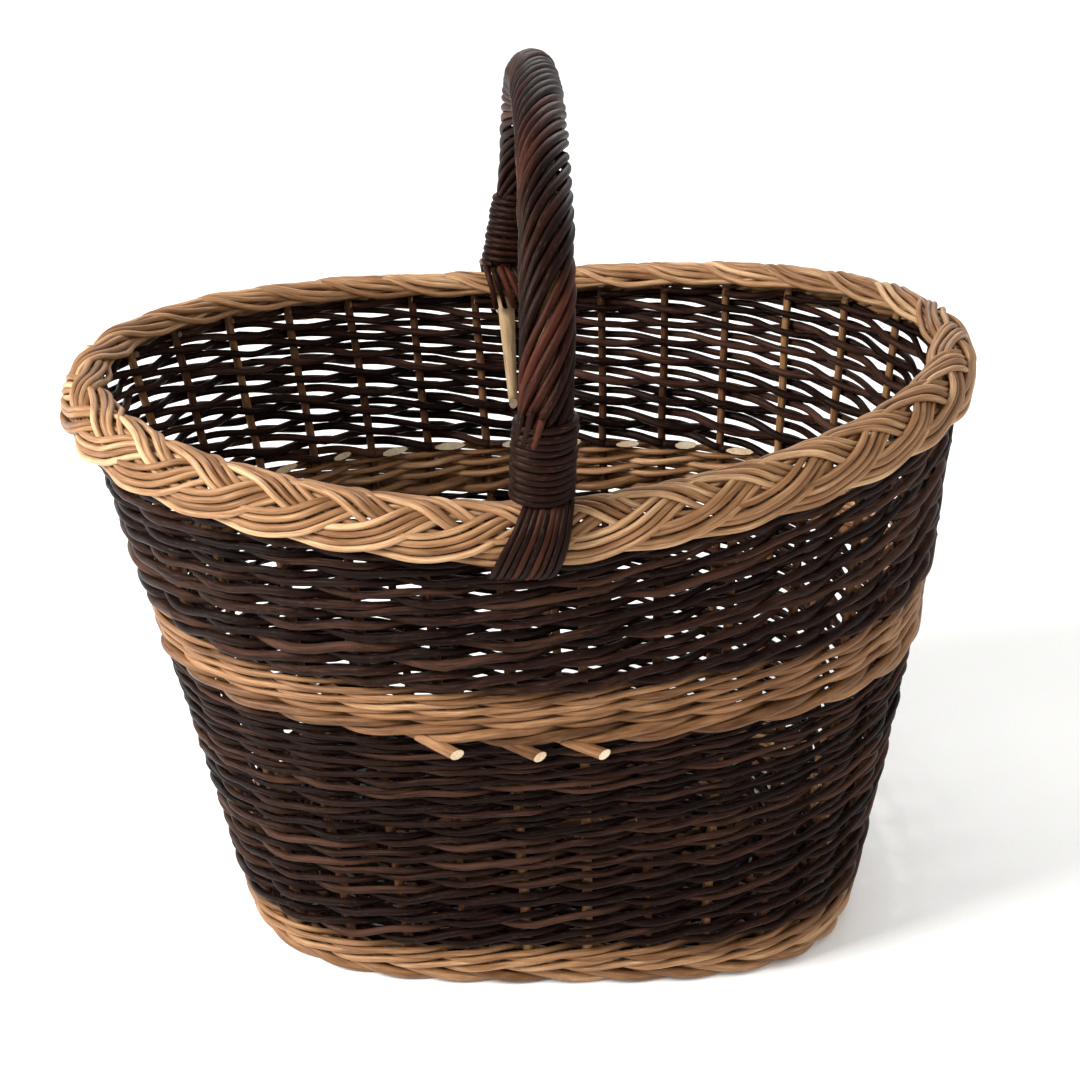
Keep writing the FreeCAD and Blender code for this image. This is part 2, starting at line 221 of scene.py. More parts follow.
def weave(name, rods, finishes, sides=10):
    """Writes a list of rods as one smooth mesh. The second finish is for cut ends."""
    spots, quads, caps, ways, tones = [], [], [], [], []
    start = 0
    for one in rods:
        rings, along = swept(one, sides)
        count = len(rings)
        spots.append(rings.reshape(-1, 3))
        tones.append(np.full(count * sides, one["tone"]))
        index = start + np.arange(count * sides).reshape(count, sides)
        nxt = np.roll(index, -1, axis=0) if one["closed"] else index[1:]
        now = index if one["closed"] else index[:-1]
        quad = np.stack([now, np.roll(now, -1, axis=1), np.roll(nxt, -1, axis=1), nxt], axis=-1)
        quads.append(quad.reshape(-1, 4))
        length = along[-1] + (along[-1] - along[-2])
        next_along = np.concatenate([along[1:], [length]]) if one["closed"] else along[1:]
        now_along = along if one["closed"] else along[:-1]
        around = np.arange(sides) / sides
        way = np.zeros((len(now_along), sides, 4, 2))
        way[:, :, 0, 0] = way[:, :, 1, 0] = now_along[:, None]
        way[:, :, 2, 0] = way[:, :, 3, 0] = next_along[:, None]
        way[:, :, 0, 1] = way[:, :, 3, 1] = around[None, :]
        way[:, :, 1, 1] = way[:, :, 2, 1] = around[None, :] + 1 / sides
        ways.append(way.reshape(-1, 2))
        if not one["closed"]:
            caps += [index[0][::-1], index[-1]]
        start += count * sides
    quads = np.concatenate(quads)
    corners = np.concatenate([quads.ravel()] + caps) if caps else quads.ravel()
    sizes = np.concatenate([np.full(len(quads), 4), np.full(len(caps), sides)]).astype(np.int32)
    mesh = bpy.data.meshes.new(name)
    spots = np.concatenate(spots)
    mesh.vertices.add(len(spots))
    mesh.vertices.foreach_set("co", spots.ravel())
    mesh.loops.add(len(corners))
    mesh.loops.foreach_set("vertex_index", corners.astype(np.int32))
    mesh.polygons.add(len(sizes))
    mesh.polygons.foreach_set("loop_start", (np.cumsum(sizes) - sizes).astype(np.int32))
    mesh.polygons.foreach_set("loop_total", sizes)
    mesh.polygons.foreach_set("use_smooth", np.arange(len(sizes)) < len(quads))
    mesh.polygons.foreach_set("material_index", (np.arange(len(sizes)) >= len(quads)).astype(np.int32))
    layer = mesh.uv_layers.new(name="bark")
    uv = np.zeros((len(corners), 2))
    uv[: len(quads) * 4] = np.concatenate(ways)
    layer.data.foreach_set("uv", uv.ravel())
    tone = mesh.attributes.new("tone", "FLOAT", "POINT")
    tone.data.foreach_set("value", np.concatenate(tones).astype(np.float32))
    mesh.update(calc_edges=True)
    mesh.validate()
    for finish in finishes:
        mesh.materials.append(finish)
    piece = bpy.data.objects.new(name, mesh)
    bpy.context.scene.collection.objects.link(piece)
    print(name, "rods:", len(rods), "triangles:", len(quads) * 2 + len(caps) * (sides - 2))
    return piece


def fit(piece, slot, *nodes):
    """The piece rides on the basket's one body and stands for its plain nodes."""
    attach(piece, "root")
    if nodes:
        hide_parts(*nodes)
    return piece


def head_and_rest(one, count, slant):
    """Parts a rod after its first rings, and cuts the new head on the slant."""
    head, rest = dict(one), dict(one)
    for key in ("points", "radius", "facing"):
        head[key] = one[key][:count + 1]
        rest[key] = one[key][count:]
    head["cuts"] = (slant, 0.0)
    rest["cuts"] = (0.0, one["cuts"][1])
    return head, rest


def smooth_path(corners, count):
    """A smooth path through a few corners (Catmull-Rom)."""
    corners = np.asarray(corners, float)
    padded = np.concatenate([[2 * corners[0] - corners[1]], corners, [2 * corners[-1] - corners[-2]]])
    place = np.linspace(0.0, len(corners) - 1 - 1e-6, count)
    low = np.floor(place).astype(int)
    t = (place - low)[:, None]
    a, b, c, d = padded[low], padded[low + 1], padded[low + 2], padded[low + 3]
    bend = (2 * a - 5 * b + 4 * c - d) * t ** 2 + (3 * b - a - 3 * c + d) * t ** 3
    return 0.5 * (2 * b + (c - a) * t + bend)


KNOT_WIDTH = 2.6 * MM


def wander(along, strength, cycle):
    """A slow random drift along a rod, since a shoot is never quite straight."""
    drift = np.zeros(len(along))
    for part in (1.0, 2.3, 4.1):
        drift += np.sin(along * 2 * np.pi * part / cycle + rng.random() * 2 * np.pi) / part
    return drift * strength


def knots(along, apart, strength):
    """Small swellings where side shoots grew, at random places along a rod."""
    swelling = np.zeros(len(along))
    for middle in np.arange(along[0], along[-1], apart):
        place = middle + rng.random() * apart
        swelling += np.exp(-((along - place) / KNOT_WIDTH) ** 2) * rng.uniform(0.4, 1.0)
    return swelling * strength


# %% [markdown]
# ## Finishes
# Brown willow is dried with its bark on: fine lengthwise wrinkles, small pale specks, a waxy
# sheen. Buff willow is boiled with its bark on and then stripped, so tannin dyes the smooth
# wood tan. Both are shiny only where hands and tools have rubbed them. The index of refraction
# of wood and bark is close to 1.5, and neither is metallic. Rough bark scatters most of what it
# would mirror, so its specular level is well below the usual 0.5, and what it mirrors is warm.
# Image textures could be wrapped round the rods, but a procedural bark has no seams: the
# position round the rod is turned into a circle before any noise reads it.


# %% Helpers for finishes
def colour(text):
    """An sRGB hex colour as linear values."""
    parts = [int(text[i:i + 2], 16) / 255 for i in (1, 3, 5)]
    linear = [p / 12.92 if p <= 0.04045 else ((p + 0.055) / 1.055) ** 2.4 for p in parts]
    return (*linear, 1.0)


def add(tree, kind, inputs=None, **settings):
    """Adds a node with its settings. An input is a value, or another node's output to link."""
    made = tree.nodes.new(kind)
    for key, value in settings.items():
        setattr(made, key, value)
    for key, value in (inputs or {}).items():
        if isinstance(value, bpy.types.NodeSocket):
            tree.links.new(value, made.inputs[key])
        else:
            made.inputs[key].default_value = value
    return made


def new_finish(name):
    """An empty material with a shader joined to its output."""
    finish = bpy.data.materials.new(name)
    finish.use_nodes = True
    tree = finish.node_tree
    tree.nodes.clear()
    shader = add(tree, "ShaderNodeBsdfPrincipled")
    add(tree, "ShaderNodeOutputMaterial", {"Surface": shader.outputs[0]})
    return finish, tree, shader


def rod_coordinates(tree, wrinkles, stretch):
    """Seamless coordinates on a rod: a circle round it, its length, and a shift for each rod."""
    uv = add(tree, "ShaderNodeUVMap", uv_map="bark")
    parts = add(tree, "ShaderNodeSeparateXYZ", {0: uv.outputs[0]})
    turn = add(tree, "ShaderNodeMath", {0: parts.outputs[1], 1: 2 * math.pi}, operation="MULTIPLY")
    across = add(tree, "ShaderNodeMath", {0: turn.outputs[0]}, operation="COSINE")
    deep = add(tree, "ShaderNodeMath", {0: turn.outputs[0]}, operation="SINE")
    tone = add(tree, "ShaderNodeAttribute", attribute_name="tone")
    shift = add(tree, "ShaderNodeMath", {0: tone.outputs["Fac"], 1: 57.0}, operation="MULTIPLY")
    along = add(tree, "ShaderNodeMath", {0: parts.outputs[0], 1: stretch, 2: shift.outputs[0]},
                operation="MULTIPLY_ADD")
    round_x = add(tree, "ShaderNodeMath", {0: across.outputs[0], 1: wrinkles}, operation="MULTIPLY")
    round_y = add(tree, "ShaderNodeMath", {0: deep.outputs[0], 1: wrinkles}, operation="MULTIPLY")
    spot = add(tree, "ShaderNodeCombineXYZ",
               {0: round_x.outputs[0], 1: round_y.outputs[0], 2: along.outputs[0]})
    return spot.outputs[0], tone.outputs["Fac"]


def willow_finish(name, colours, speck, roughness, bump_mm, gloss, tone_share=0.45, drift_share=0.0):
    """Bark or stripped wood on a rod: colours run from the darkest to the lightest."""
    finish, tree, shader = new_finish(name)
    # Wrinkles are about 0.8 mm apart round a 5 mm rod and 12 mm long.
    fine, tone = rod_coordinates(tree, 3.0, 85.0)
    # Blotches are about 25 mm long and as wide as the rod.
    broad, _ = rod_coordinates(tree, 0.7, 40.0)
    grain = add(tree, "ShaderNodeTexNoise", {"Vector": fine, "Scale": 1.0, "Detail": 6.0,
                                             "Roughness": 0.6})
    blotch = add(tree, "ShaderNodeTexNoise", {"Vector": broad, "Scale": 1.0, "Detail": 3.0,
                                              "Roughness": 0.55})
    mixed = add(tree, "ShaderNodeMath", {0: grain.outputs[0], 1: 0.55, 2: -0.05},
                operation="MULTIPLY_ADD")
    mixed = add(tree, "ShaderNodeMath", {0: blotch.outputs[0], 1: 0.55, 2: mixed.outputs[0]},
                operation="MULTIPLY_ADD")
    centred = add(tree, "ShaderNodeMath", {0: tone, 1: 0.5}, operation="SUBTRACT")
    mixed = add(tree, "ShaderNodeMath", {0: centred.outputs[0], 1: tone_share, 2: mixed.outputs[0]},
                operation="MULTIPLY_ADD")
    # One rod fades from end to end: the slow change takes about 250 mm.
    slow, _ = rod_coordinates(tree, 0.15, 4.0)
    fade = add(tree, "ShaderNodeTexNoise", {"Vector": slow, "Scale": 1.0, "Detail": 1.0})
    fade = add(tree, "ShaderNodeMath", {0: fade.outputs[0], 1: 0.5}, operation="SUBTRACT")
    mixed = add(tree, "ShaderNodeMath", {0: fade.outputs[0], 1: drift_share, 2: mixed.outputs[0]},
                operation="MULTIPLY_ADD")
    ramp = add(tree, "ShaderNodeValToRGB", {0: mixed.outputs[0]})
    stops = ramp.color_ramp.elements
    places = np.linspace(0.22, 0.78, len(colours))
    while len(stops) < len(colours):
        stops.new(0.5)
    for stop, place, text in zip(stops, places, colours):
        stop.position = place
        stop.color = colour(text)
    # Lenticels: pale specks about 1 mm across, one every 10 mm or so.
    speckle = add(tree, "ShaderNodeTexVoronoi", {"Vector": fine, "Scale": 1.35, "Randomness": 1.0})
    dots = add(tree, "ShaderNodeMapRange", {0: speckle.outputs["Distance"], 1: 0.10, 2: 0.17,
                                            3: 0.55, 4: 0.0})
    tinted = add(tree, "ShaderNodeMix", {0: dots.outputs[0], 6: ramp.outputs[0], 7: colour(speck)},
                 data_type="RGBA")
    tree.links.new(tinted.outputs[2], shader.inputs["Base Color"])
    rough = add(tree, "ShaderNodeMapRange", {0: blotch.outputs[0], 1: 0.3, 2: 0.7,
                                             3: roughness[0], 4: roughness[1]})
    tree.links.new(rough.outputs[0], shader.inputs["Roughness"])
    bump = add(tree, "ShaderNodeBump", {"Height": grain.outputs[0], "Distance": bump_mm * MM,
                                        "Strength": 0.8})
    tree.links.new(bump.outputs[0], shader.inputs["Normal"])
    shader.inputs["IOR"].default_value = 1.5
    shader.inputs["Specular IOR Level"].default_value = gloss
    shader.inputs["Specular Tint"].default_value = colour("#E2C0AC")
    return finish


# %% Brown, buff and handle willow
brown_willow = willow_finish(
    "brown_willow_bark", ("#050202", "#0F0605", "#1E100C", "#412A20"), "#5E4234",
    roughness=(0.36, 0.6), bump_mm=0.45, gloss=0.1, drift_share=0.6)
buff_willow = willow_finish(
    "buff_stripped_willow", ("#402715", "#6C4A2E", "#906A49", "#BB9A74"), "#5E3E25",
    roughness=(0.36, 0.56), bump_mm=0.15, gloss=0.35, tone_share=0.26, drift_share=0.7)
handle_willow = willow_finish(
    "red_brown_willow_bark", ("#060202", "#150705", "#240F0A", "#401F16"), "#6E4A3C",
    roughness=(0.34, 0.55), bump_mm=0.35, gloss=0.12, drift_share=0.4)
stake_willow = willow_finish(
    "weathered_stake_willow", ("#2A170B", "#452A18", "#66462D", "#86623F"), "#9C7A58",
    roughness=(0.5, 0.7), bump_mm=0.2, gloss=0.2)
rod_finishes = (brown_willow, buff_willow, handle_willow, stake_willow)
print("finishes on rods:", [finish.name for finish in rod_finishes])


# %% [markdown]
# ### Cut wood
# Where a knife has cut a rod the pale sapwood shows, with faint rings round a soft pith. The
# wood is dry there and quite matt. The rings come from distance in space, so they need no map.

# %% Cut ends
def cut_finish(name, light, dark):
    finish, tree, shader = new_finish(name)
    place = add(tree, "ShaderNodeTexCoord")
    # Fibres 0.5 mm apart are too fine to show, so they are drawn about 1 mm apart.
    fibre = add(tree, "ShaderNodeTexNoise", {"Vector": place.outputs["Object"], "Scale": 900.0,
                                             "Detail": 4.0})
    stain = add(tree, "ShaderNodeTexNoise", {"Vector": place.outputs["Object"], "Scale": 60.0,
                                             "Detail": 2.0})
    both = add(tree, "ShaderNodeMath", {0: fibre.outputs[0], 1: stain.outputs[0]}, operation="ADD")
    share = add(tree, "ShaderNodeMapRange", {0: both.outputs[0], 1: 0.7, 2: 1.3, 3: 0.0, 4: 1.0})
    tint = add(tree, "ShaderNodeMix", {0: share.outputs[0], 6: colour(dark), 7: colour(light)},
               data_type="RGBA")
    tree.links.new(tint.outputs[2], shader.inputs["Base Color"])
    rough = add(tree, "ShaderNodeMapRange", {0: fibre.outputs[0], 1: 0.3, 2: 0.7, 3: 0.6, 4: 0.8})
    tree.links.new(rough.outputs[0], shader.inputs["Roughness"])
    bump = add(tree, "ShaderNodeBump", {"Height": fibre.outputs[0], "Distance": 0.2 * MM})
    tree.links.new(bump.outputs[0], shader.inputs["Normal"])
    shader.inputs["IOR"].default_value = 1.5
    return finish


cut_willow = cut_finish("cut_willow_wood", "#EBDDC0", "#C4A47C")
brown_cut = cut_finish("brown_cut_willow_wood", "#A98A66", "#6E5038")
print("finishes on cut ends:", [cut_willow.name, brown_cut.name])

# %% [markdown]
# ## Stakes
# The stakes are stout rods that stand up from the foot and carry all the weaving. They show as
# short brown bars between the rows. Each one follows its straight line on the wall with a
# little wander, and gets thinner upwards.

# %% Stand the stakes
STAKE_FOOT_RADIUS = 2.7 * MM
STAKE_TIP_RADIUS = 2.2 * MM
STAKE_FOOT_LEVEL = 0.012


def stake_rod(number):
    level = np.linspace(STAKE_FOOT_LEVEL, STAKE_TIP_LEVEL, 60)
    height = level * WALL_HEIGHT
    stake = number + 0.5 + wander(height, 0.012, 0.2)
    path = wall(stake, level, wander(height, 0.25 * MM, 0.15))
    radius = np.linspace(STAKE_FOOT_RADIUS, STAKE_TIP_RADIUS, 60) * (1 + wander(height, 0.03, 0.05))
    return rod(path, radius, facing=(1.0, 0.31, 0.0))


for place, side in enumerate(("front", "right", "back", "left")):
    numbers = range(place * STAKES // 4 - 4, place * STAKES // 4 + 4)
    piece = weave(side + "_stake_rods", [stake_rod(n) for n in numbers], (stake_willow, cut_willow))
    fit(piece, "stake_willow", side + "_stakes")

# %% [markdown]
# ## The dark siding
# French-type siding starts with one rod behind every stake. Each rod goes in front of two
# stakes and behind one, again and again, so every stroke rises to the right over its
# neighbours and the wall grows evenly all round. Seen from outside this gives slanted strokes;
# inside, long open gaps show between the rods.
# The path is one wave: out past two stakes, in past one, climbing one row every three stakes.
# Rods get thinner from butt to tip, so the rows get closer too. Small swellings mark the places
# where side shoots grew.

# %% Lay the siding
STROKE = 3
STEP_UP = 1.05
SLIM_STAKE = -7.0


def in_and_out(turn):
    """Out in front of two stakes and in behind the third: +1 is outside, -1 inside."""
    phase = 2 * np.pi * (turn - 1.5) / STROKE
    return (1 + 3 * np.cos(phase) - np.cos(2 * phase)) / 3


def slim(stake):
    """How near the rods' thin tips are: 1 at the left end of the front, 0 over most of the rest."""
    return np.clip(np.cos(2 * np.pi * (stake - SLIM_STAKE) / STAKES), 0.0, 1.0)


def siding_rod(number, bottom, top, rows, thick, thin, spread, depth, dip, points):
    turns = STROKE * rows
    turn = np.linspace(-0.62, turns, turns * points + 7)
    distance = turn * STAKE_SPACING
    stepped = turn + STEP_UP * (1.5 / (2 * np.pi)) * np.sin(2 * np.pi * turn / 1.5)
    share = np.clip(np.where(turn < 0, 0.0, stepped) / turns, 0.0, 1.0)
    climb = (1 + spread) * share - spread * share ** 2
    size = thick + (thin - thick) * np.clip(turn / turns, 0, 1)
    stoutness = 1 + rng.uniform(-0.12, 0.12)
    size = size * stoutness * (1 + wander(distance, 0.03, 0.11) + knots(distance, 0.07, 0.2))
    reach = (STAKE_FOOT_RADIUS + size) * depth
    wave = in_and_out(turn)
    wave = np.where(turn < 0, -1.0 + 0.35 * turn, wave)
    out = wave * reach + wander(distance, 0.35 * MM, 0.16)
    lift = wander(distance, 0.6 * MM, 0.13) + rng.uniform(-0.7, 0.7) * MM
    stake = number + 0.5 + turn
    level = bottom + (top - bottom) * climb - dip * slim(stake) * (1 - climb)
    path = wall(stake, level, out, lift)
    return rod(path, size, cuts=(-2.2, 0.0))


# Levels are shares of the wall's height, and points are path points for each stake.
LOWER_SIDING = dict(bottom=0.089, top=0.55, rows=13, thick=1.95 * MM, thin=1.3 * MM, spread=0.4,
                    depth=0.97, dip=0.0, points=9)
UPPER_SIDING = dict(bottom=0.664, top=0.965, rows=8, thick=2.35 * MM, thin=1.7 * MM, spread=0.22,
                    depth=0.97, dip=0.019, points=12)
lower_rods = [siding_rod(number, **LOWER_SIDING) for number in range(STAKES)]
fit(weave("lower_siding_rods", lower_rods, (brown_willow, brown_cut), sides=8),
    "dark_willow", "lower_siding")

# Each upper rod's first rings are a piece of their own, with a slanted pale cut inside the basket.
BUTT_RINGS = 7
BUTT_SLANT = -3.0
upper_rods, butts = [], []
for number in range(STAKES):
    whole = siding_rod(number, **UPPER_SIDING)
    head, rest = head_and_rest(whole, BUTT_RINGS, BUTT_SLANT * rng.uniform(0.7, 1.2))
    butts.append(head)
    upper_rods.append(rest)
fit(weave("upper_siding_rods", upper_rods, (brown_willow, brown_cut), sides=9),
    "dark_willow", "upper_siding")
fit(weave("siding_butt_rods", butts, (brown_willow, cut_willow), sides=9),
    "cut_willow", "siding_butts")

# %% [markdown]
# ## The pale wales
# A three-rod wale is worked with three rods at once. Each goes in front of two stakes and
# behind one, always over the other two, which makes a tight raised cord that holds the wall's
# shape. The stroke rises outside and falls inside, so a round ends level where it began.
# Thirty-two stakes is not a multiple of three, so a single path that goes round three times
# meets its own start. One closed loop is then a whole round, with no visible joint.
# The rods are thinnest at the left end of the front, and the rows sink a little there.

# %% Lay the wales
WALE_TURNS = STAKES * STROKE
WALE_POINTS = 9
WALE_GRIP = 0.94


def closed_drift(turn, strength, cycles, length=WALE_TURNS):
    """A slow drift that meets its own start, after three times round unless told otherwise."""
    drift = np.zeros(len(turn))
    for part in cycles:
        drift += np.sin(2 * np.pi * part * turn / length + rng.random() * 2 * np.pi)
    return drift * strength / math.sqrt(len(cycles))


def wale_round(level, size, dip=0.0, stroke_height=0.6, shift=0):
    turn = np.arange(WALE_TURNS * WALE_POINTS) / WALE_POINTS
    thinner = slim(turn + 0.5 + shift)
    girth = size * (1 + closed_drift(turn, 0.09, (7, 19, 31))) * (1 - 0.18 * thinner)
    out = in_and_out(turn) * (STAKE_FOOT_RADIUS + girth) * WALE_GRIP
    out = out + closed_drift(turn, 0.3 * MM, (11, 23))
    rise = -2 * stroke_height * size * np.sin(2 * np.pi * turn / STROKE)
    rise = rise + closed_drift(turn, 0.35 * MM, (5, 17, 29))
    return rod(wall(turn + 0.5 + shift, level - dip * thinner, out, rise), girth, closed=True)


BUTT_WALE_LEVEL = 0.572
butt_wale = [wale_round(BUTT_WALE_LEVEL, 2.8 * MM, stroke_height=0.54)]
fit(weave("middle_butt_wale_rods", butt_wale, (buff_willow, cut_willow)),
    "buff_willow", "middle_wale_butt_round")
# Each round: its level, its rods' radius, and how far it sinks where the rods are thin.
MIDDLE_WALES = ((0.602, 1.85 * MM, 0.006), (0.6255, 1.8 * MM, 0.012), (0.6485, 1.7 * MM, 0.018))
fine_wales = [wale_round(*row, shift=k) for k, row in enumerate(MIDDLE_WALES)]
fit(weave("middle_wale_rods", fine_wales, (buff_willow, cut_willow)), "buff_willow", "middle_wale")
BOTTOM_WALES = ((0.048, 1.95 * MM, 0.004), (0.071, 1.8 * MM, 0.008))
bottom_wales = [wale_round(*row, shift=k) for k, row in enumerate(BOTTOM_WALES)]
fit(weave("bottom_wale_rods", bottom_wales, (buff_willow, cut_willow)), "buff_willow", "bottom_wale")

# %% [markdown]
# ## The foot border
# The lowest edge is a rope of three thick pale rods turned the other way round from the wale, so
# its strokes fall to the right. It carries the basket, and its underside lies flat on the floor.

# %% Lay the foot border
FOOT_ROD = 2.75 * MM


def foot_rope():
    turn = np.arange(WALE_TURNS * WALE_POINTS) / WALE_POINTS
    phase = 2 * np.pi * turn / STROKE
    girth = FOOT_ROD * (1 + closed_drift(turn, 0.05, (7, 19)))
    out = 3.6 * MM * np.cos(phase)
    rise = FOOT_ROD + 2.6 * MM * (1 - np.sin(phase))
    rise = np.maximum(rise, girth)
    return rod(wall(turn, 0.0, out, rise), girth, closed=True)


fit(weave("foot_border_rods", [foot_rope()], (buff_willow, cut_willow)), "buff_willow", "foot_border")

# %% [markdown]
# ## The plaited border
# The stakes' own tops are laid down into a flat plait that laps over the rim. It has five
# strands, and each strand is a flat ribbon of four rods side by side. Every strand swings from
# edge to edge. From either edge it passes over two strands to the middle, and then under two.
# A wave twice as fast as the swing gives exactly that rise and dip. Thirty-two stakes are not a
# multiple of five, so one path that goes round five times makes all five strands.
# The flat plait is then bent over the rim like a saddle.

# %% Plait the border
STRANDS = 5
STRAND_RODS = 4
BORDER_ROD = 1.68 * MM
BORDER_SWING = 13.3 * MM
BORDER_DIVE = 2.2 * MM
EDGE_FLATNESS = 0.07
PLAIT_TURNS = STAKES * STRANDS
PLAIT_POINTS = 16
# The plait's middle sheet as it bends over the rim, from the inner edge: mm out and mm up.
SADDLE = ((-9.4, -6.5), (-9.2, -2.6), (-6.6, 0.6), (-1.6, 1.9), (3.6, 0.4), (7.2, -4.2), (8.9, -10.2),
          (9.3, -16.0), (9.2, -21.5))
saddle = smooth_path(np.array(SADDLE) * MM, 200)
saddle_run = np.concatenate([[0.0], np.cumsum(np.linalg.norm(np.diff(saddle, axis=0), axis=1))])
saddle_way = unit(np.gradient(saddle, axis=0))
saddle_up = np.stack([-saddle_way[:, 1], saddle_way[:, 0]], axis=1)
print("the plait is", round(saddle_run[-1] / MM, 1), "mm across its middle sheet")


def over_the_rim(stake, across, height):
    """Bends the flat plait over the rim: across it, and height above its middle sheet."""
    place = across + saddle_run[-1] / 2
    out = np.interp(place, saddle_run, saddle[:, 0]) + height * np.interp(place, saddle_run, saddle_up[:, 0])
    lift = np.interp(place, saddle_run, saddle[:, 1]) + height * np.interp(place, saddle_run, saddle_up[:, 1])
    return wall(stake, 1.0, out, lift)


def plait_rod(lane):
    turn = np.arange(PLAIT_TURNS * PLAIT_POINTS) / PLAIT_POINTS
    phase = 2 * np.pi * turn / STRANDS
    swing = (np.sin(phase) + EDGE_FLATNESS * np.sin(3 * phase)) / (1 - EDGE_FLATNESS)
    slope = np.arctan(np.gradient(swing * BORDER_SWING, turn * STAKE_SPACING))
    side = (lane - (STRAND_RODS - 1) / 2) * 2.03 * BORDER_ROD
    side = side + closed_drift(turn, 0.45 * MM, (8, 21, 46), PLAIT_TURNS)
    across = BORDER_SWING * swing + side * np.cos(slope)
    stake = turn - side * np.sin(slope) / STAKE_SPACING
    height = -BORDER_DIVE * (np.sin(2 * phase) + 0.3 * np.sin(6 * phase))
    height = height + closed_drift(turn, 0.3 * MM, (11, 37, 53), PLAIT_TURNS)
    girth = BORDER_ROD * (1 + closed_drift(turn, 0.06, (6, 13, 43), PLAIT_TURNS))
    return rod(over_the_rim(stake, across, height), girth, closed=True)


plait = [plait_rod(lane) for lane in range(STRAND_RODS)]
fit(weave("border_plait_rods", plait, (buff_willow, cut_willow), sides=9), "buff_willow", "border")

# %% [markdown]
# ## The handle
# A stout bow is pushed down into the wall on both sides, and a dozen thin rods are wound round
# it like the strands of a rope. Two things make it look right: the rods touch, so each takes a
# full turn in about 118 mm, and they all turn the same way from one foot to the other.

# %% The bow's middle line
ROPING_RADIUS = 12.6 * MM
COLLAR_START = 9.0 * MM
COLLAR_LENGTH = 44.0 * MM
LEG_FLATNESS = 0.78
BOW_END_LEVEL = 0.74
BOW_RADIUS = 5.5 * MM
ARCH_POWER = 2.15
COLLAR_LOW, COLLAR_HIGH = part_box("back_collar")


def leg_line(stake):
    """The rim point at a handle leg and the way the leg leaves it."""
    top = wall([stake], 1.0)[0]
    slope = top - wall([stake], BOW_END_LEVEL)[0]
    slope[0] = 0.0
    return top, slope / np.linalg.norm(slope)


# The back leg leans: half of the lean has happened half way up its collar.
back_lean = (COLLAR_LOW.x + COLLAR_HIGH.x) / 2 * 2 * (COLLAR_START + COLLAR_LENGTH) / (
    2 * COLLAR_START + COLLAR_LENGTH)
print("the back leg leans over by", round(back_lean / MM, 1), "mm")


def bow_line(count):
    """Even points along the bow from the front rim to the back rim."""
    front, front_way = leg_line(0.0)
    back, back_way = leg_line(STAKES / 2)
    rise = COLLAR_START + COLLAR_LENGTH
    front_top = front + front_way * rise
    back_top = back + back_way * rise
    back_top[0] = back_lean
    middle = (front_top + back_top) / 2
    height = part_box("handle_roping")[1].z - ROPING_RADIUS - middle[2]
    half = (back_top[1] - front_top[1]) / 2
    angle = np.linspace(np.pi, 0.0, 181)
    across = half * np.sign(np.cos(angle)) * np.abs(np.cos(angle)) ** (2 / ARCH_POWER)
    up = height * np.abs(np.sin(angle)) ** (2 / ARCH_POWER)
    arch = middle + np.stack([back_lean * across / (2 * half), across, up], axis=1)
    leg = np.linspace(0.0, 1.0, 12)[:-1, None]
    front_leg = front + leg * (front_top - front)
    back_leg = back_top + leg[1:] * (back - back_top)
    path = np.concatenate([front_leg, arch, back_leg, [back]])
    run = np.concatenate([[0.0], np.cumsum(np.linalg.norm(np.diff(path, axis=0), axis=1))])
    even = np.linspace(0.0, run[-1], count)
    path = np.stack([np.interp(even, run, path[:, axis]) for axis in range(3)], axis=1)
    for _ in range(12):
        path[1:-1] = (path[:-2] + 2 * path[1:-1] + path[2:]) / 4
    return path, run[-1]


bow, bow_length = bow_line(241)
print("handle length above the rim, mm:", round(bow_length / MM))


def round_the_bow(distance, turn, radius):
    """Points on a circle round the bow: distance along it, angle round it, and radius."""
    place = np.clip(distance / bow_length, 0.0, 1.0) * (len(bow) - 1)
    low = np.minimum(np.floor(place).astype(int), len(bow) - 2)
    share = (place - low)[:, None]
    centre = bow[low] * (1 - share) + bow[low + 1] * share
    slope = np.gradient(bow, axis=0)
    tangent = unit(slope[low] * (1 - share) + slope[low + 1] * share)
    side = np.broadcast_to(np.array([1.0, 0.0, 0.0]), tangent.shape)
    inward = unit(np.cross(tangent, side))
    from_rim = np.minimum(distance, bow_length - distance)
    flat = np.interp(from_rim, (COLLAR_START + COLLAR_LENGTH, 3 * COLLAR_LENGTH), (LEG_FLATNESS, 1.0))
    across = np.cos(turn)[:, None] * side
    return centre + np.asarray(radius)[..., None] * (across + (np.sin(turn) * flat)[:, None] * inward)


# %% Wind the roping
ROPING_RODS = 12
ROPING_ROD = 2.2 * MM
ROPING_PITCH = 0.118


def roping_rod(number):
    distance = np.linspace(COLLAR_START + 2 * MM, bow_length - COLLAR_START - 2 * MM, 190)
    turn = 2 * np.pi * (distance / ROPING_PITCH + number / ROPING_RODS)
    turn = turn + wander(distance, 0.035, 0.15)
    size = ROPING_ROD * rng.uniform(0.9, 1.08) * (1 + wander(distance, 0.02, 0.06))
    radius = ROPING_RADIUS - ROPING_ROD + wander(distance, 0.25 * MM, 0.12)
    return rod(round_the_bow(distance, turn, radius), size, facing=(1.0, 0.0, 0.0))


roping = [roping_rod(number) for number in range(ROPING_RODS)]
fit(weave("handle_roping_rods", roping, (handle_willow, brown_cut)), "handle_willow", "handle_roping")


# %% [markdown]
# ## Collars and tails
# Below the roping a single rod is wound round each leg about eleven times, which grips
# everything. The roping rods come out under it, fan out over the border and are tucked away
# beneath its edge. A helix makes the collar. Each tail is a smooth path through a few points
# that are measured from the rim, bent over the border the way a stiff rod bends.

# %% Wind the collars
COLLAR_ROD = 2.0 * MM
COLLAR_RADIUS = 15.0 * MM
COLLAR_TURNS = 11


